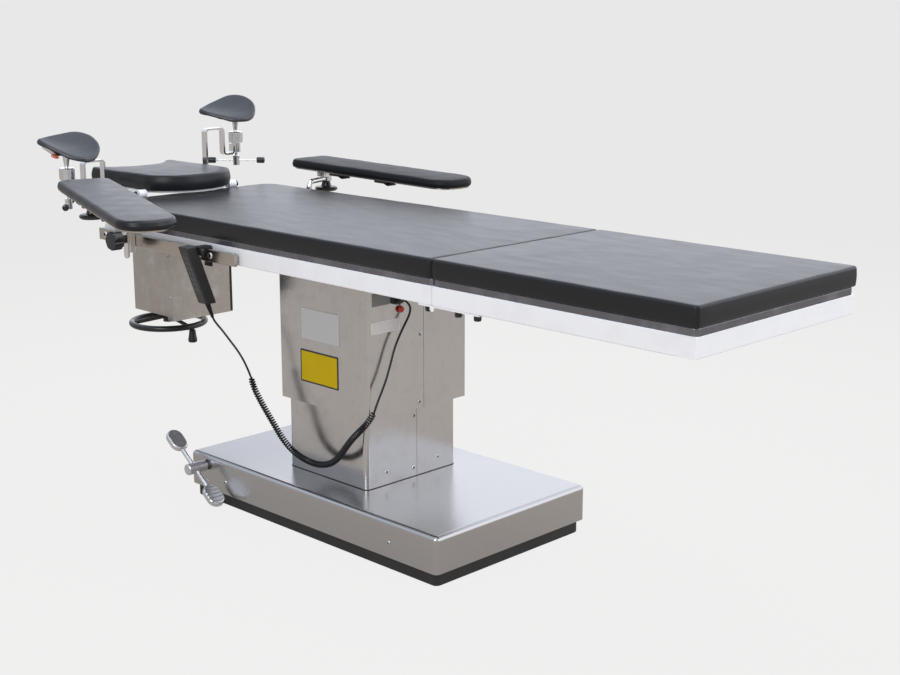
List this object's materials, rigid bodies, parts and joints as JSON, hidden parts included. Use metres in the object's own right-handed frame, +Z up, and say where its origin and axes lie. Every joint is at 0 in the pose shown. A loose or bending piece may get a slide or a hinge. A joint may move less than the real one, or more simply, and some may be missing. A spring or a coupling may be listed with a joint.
{
  "type": "operating table",
  "caption": "Powered lifting and tilting table on a heavy base, with leg and head sections, two padded arm boards, two wrist rests, a handwheel and a corded handset",
  "frame": {"origin": "middle of the base on the floor", "axes": "+X towards the foot end, +Y towards the patient's left, +Z up"},
  "size_m": [2.0885, 1.0282, 0.936],
  "materials": {
    "black_cast": "black painted",
    "grey_paint": "satin grey paint",
    "steel": "brushed stainless",
    "bright_steel": "fine ground steel",
    "chrome": "polished chrome",
    "pedal_metal": "black satin",
    "pedal_rubber": "ribbed rubber",
    "dark_plastic": "matt",
    "black_plastic": "soft gloss",
    "grey_plastic": "fine texture",
    "red_plastic": "gloss",
    "cord_rubber": "satin",
    "white_paint": "white powder coat",
    "dark_panel": "dark satin",
    "upholstery": "coated upholstery",
    "black_steel": "black satin",
    "pale_metal": "matt anodised"
  },
  "bodies": {
    "base": {"base_plinth": "black_cast", "base_chassis": "grey_paint", "base_cover": "steel", "lower_shroud": "steel", "lift_outer_tube": "grey_paint", "lift_cylinder": "grey_paint"},
    "pedal": {"pedal_lever": "pedal_metal", "pedal_pads": "pedal_rubber"},
    "column": {"upper_shroud": "steel", "lift_inner_tube": "bright_steel", "lift_ram": "chrome", "tilt_yoke": "grey_paint", "handset_socket": "dark_plastic", "handset_lead": "cord_rubber", "curly_cord": "cord_rubber", "column_lead": "cord_rubber", "cord_plug": "dark_plastic"},
    "stop_button": {"stop_button": "red_plastic"},
    "tabletop": {"side_beams": "white_paint", "cross_beams": "white_paint", "tilt_shaft": "bright_steel", "back_panel": "dark_panel", "back_mattress": "upholstery", "side_rails": "steel", "gearbox_housing": "steel", "gearbox_cover": "steel", "handset_case": "grey_plastic", "handset_hook": "black_steel", "handset_relief": "dark_plastic"},
    "leg_section": {"leg_frame": "white_paint", "leg_panel": "dark_panel", "leg_mattress": "upholstery"},
    "handwheel": {"handwheel": "black_plastic", "lead_screw": "bright_steel"},
    "wheel_grip": {"wheel_grip": "black_plastic"},
    "head_carrier": {"head_carrier": "bright_steel"},
    "head_section": {"head_plate": "white_paint", "head_pad": "upholstery"},
    "rest_bar_right": {"rest_bar_right": "chrome"},
    "rest_post_right": {"rest_post_right": "bright_steel", "rest_pad_right": "upholstery"},
    "rest_lever_right": {"rest_lever_right": "red_plastic"},
    "rest_t_handle_right": {"rest_t_handle_right": "chrome"},
    "arm_clamp_right": {"arm_clamp_right": "bright_steel"},
    "star_knob_right": {"star_knob_right": "black_plastic"},
    "disc_knob_right": {"disc_knob_right": "black_plastic"},
    "pivot_block_right": {"pivot_block_right": "pale_metal"},
    "arm_board_right": {"arm_board_right": "steel", "arm_pad_right": "upholstery"},
    "rest_bar_left": {"rest_bar_left": "chrome"},
    "rest_post_left": {"rest_post_left": "bright_steel", "rest_pad_left": "upholstery"},
    "rest_lever_left": {"rest_lever_left": "red_plastic"},
    "rest_t_handle_left": {"rest_t_handle_left": "chrome"},
    "arm_clamp_left": {"arm_clamp_left": "bright_steel"},
    "star_knob_left": {"star_knob_left": "black_plastic"},
    "disc_knob_left": {"disc_knob_left": "black_plastic"},
    "pivot_block_left": {"pivot_block_left": "pale_metal"},
    "arm_board_left": {"arm_board_left": "steel", "arm_pad_left": "upholstery"}
  },
  "joints": [
    {"name": "pedal_rock", "type": "hinge", "parent": "base", "child": "pedal", "pos_m": [-0.37, -0.277, 0.09], "axis": [0, 1, 0], "range_deg": [-60, 0]},
    {"name": "table_lift", "type": "slide", "parent": "base", "child": "column", "axis": [0, 0, 1], "range_m": [-0.12, 0.14], "deforming": ["curly_cord"]},
    {"name": "stop_button_press", "type": "slide", "parent": "column", "child": "stop_button", "axis": [-1, 0, 0], "range_m": [0, 0.0025], "stiffness_N_per_m": 400},
    {"name": "table_tilt", "type": "hinge", "parent": "column", "child": "tabletop", "pos_m": [-0.0224, 0, 0.6332], "axis": [0, 1, 0], "range_deg": [-10, 10], "deforming": ["handset_lead"]},
    {"name": "leg_tip", "type": "hinge", "parent": "tabletop", "child": "leg_section", "pos_m": [0.44, 0, 0.6072], "axis": [0, 1, 0], "range_deg": [0, 60]},
    {"name": "handwheel_turn", "type": "hinge", "parent": "tabletop", "child": "handwheel", "pos_m": [-0.79, -0.05, 0.356], "axis": [0, 0, 1], "range_deg": [-290, 3245]},
    {"name": "head_lift", "type": "slide", "parent": "tabletop", "child": "head_carrier", "axis": [0, 0, 1], "range_m": [-0.004, 0.045]},
    {"name": "wheel_grip_spin", "type": "hinge", "parent": "handwheel", "child": "wheel_grip", "pos_m": [-0.69337, -0.04155, 0.33], "axis": [0, 0, 1], "continuous": true},
    {"name": "head_tip", "type": "hinge", "parent": "head_carrier", "child": "head_section", "pos_m": [-0.749, 0, 0.715], "axis": [0, 1, 0], "range_deg": [-20, 3]},
    {"name": "rest_height_right", "type": "slide", "parent": "head_section", "child": "rest_bar_right", "axis": [0, 0, 1], "range_m": [0, 0.06]},
    {"name": "rest_turn_right", "type": "hinge", "parent": "rest_bar_right", "child": "rest_post_right", "pos_m": [-0.892, -0.272, 0.761], "axis": [0, 0, 1], "range_deg": [-60, 60]},
    {"name": "rest_lever_right_press", "type": "hinge", "parent": "rest_post_right", "child": "rest_lever_right", "pos_m": [-0.88987, -0.308, 0.81431], "axis": [0, 1, 0], "range_deg": [0, 12], "stiffness_Nm_per_rad": 0.05},
    {"name": "rest_lock_right", "type": "hinge", "parent": "rest_bar_right", "child": "rest_t_handle_right", "pos_m": [-0.892, -0.272, 0.701], "axis": [0, 0, 1], "range_deg": [-180, 180]},
    {"name": "arm_clamp_slide_right", "type": "slide", "parent": "tabletop", "child": "arm_clamp_right", "axis": [1, 0, 0], "range_m": [-0.06, 0.06]},
    {"name": "star_knob_turn_right", "type": "hinge", "parent": "arm_clamp_right", "child": "star_knob_right", "pos_m": [-0.59, -0.33, 0.6332], "axis": [0, 1, 0], "range_deg": [-360, 360]},
    {"name": "disc_knob_turn_right", "type": "hinge", "parent": "arm_clamp_right", "child": "disc_knob_right", "pos_m": [-0.618, -0.372, 0.705], "axis": [0, 0, 1], "range_deg": [-360, 360]},
    {"name": "arm_swing_right", "type": "hinge", "parent": "arm_clamp_right", "child": "pivot_block_right", "pos_m": [-0.618, -0.372, 0.736], "axis": [0, 0, 1], "range_deg": [-90, 20]},
    {"name": "arm_tip_right", "type": "hinge", "parent": "pivot_block_right", "child": "arm_board_right", "pos_m": [-0.618, -0.372, 0.7375], "axis": [0.3007, 0.9537, 0], "range_deg": [-4, 3]},
    {"name": "rest_height_left", "type": "slide", "parent": "head_section", "child": "rest_bar_left", "axis": [0, 0, 1], "range_m": [0, 0.03]},
    {"name": "rest_turn_left", "type": "hinge", "parent": "rest_bar_left", "child": "rest_post_left", "pos_m": [-0.892, 0.272, 0.82], "axis": [0, 0, 1], "range_deg": [-60, 60]},
    {"name": "rest_lever_left_press", "type": "hinge", "parent": "rest_post_left", "child": "rest_lever_left", "pos_m": [-0.91745, 0.23745, 0.88004], "axis": [0.0206, 0.9794, 0.2008], "range_deg": [0, 12], "stiffness_Nm_per_rad": 0.05},
    {"name": "rest_lock_left", "type": "hinge", "parent": "rest_bar_left", "child": "rest_t_handle_left", "pos_m": [-0.892, 0.272, 0.76], "axis": [0, 0, 1], "range_deg": [-180, 180]},
    {"name": "arm_clamp_slide_left", "type": "slide", "parent": "tabletop", "child": "arm_clamp_left", "axis": [1, 0, 0], "range_m": [-0.06, 0.06]},
    {"name": "star_knob_turn_left", "type": "hinge", "parent": "arm_clamp_left", "child": "star_knob_left", "pos_m": [-0.59, 0.33, 0.6332], "axis": [0, 1, 0], "range_deg": [-360, 360]},
    {"name": "disc_knob_turn_left", "type": "hinge", "parent": "arm_clamp_left", "child": "disc_knob_left", "pos_m": [-0.618, 0.372, 0.705], "axis": [0, 0, 1], "range_deg": [-360, 360]},
    {"name": "arm_swing_left", "type": "hinge", "parent": "arm_clamp_left", "child": "pivot_block_left", "pos_m": [-0.618, 0.372, 0.736], "axis": [0, 0, 1], "range_deg": [-20, 90]},
    {"name": "arm_tip_left", "type": "hinge", "parent": "pivot_block_left", "child": "arm_board_left", "pos_m": [-0.618, 0.372, 0.7375], "axis": [-0.0349, 0.9994, 0], "range_deg": [-1, 4]}
  ],
  "couplings": [
    {"joint": "handwheel_turn", "follows": "head_lift", "rad_per_m": 1256.6}
  ]
}
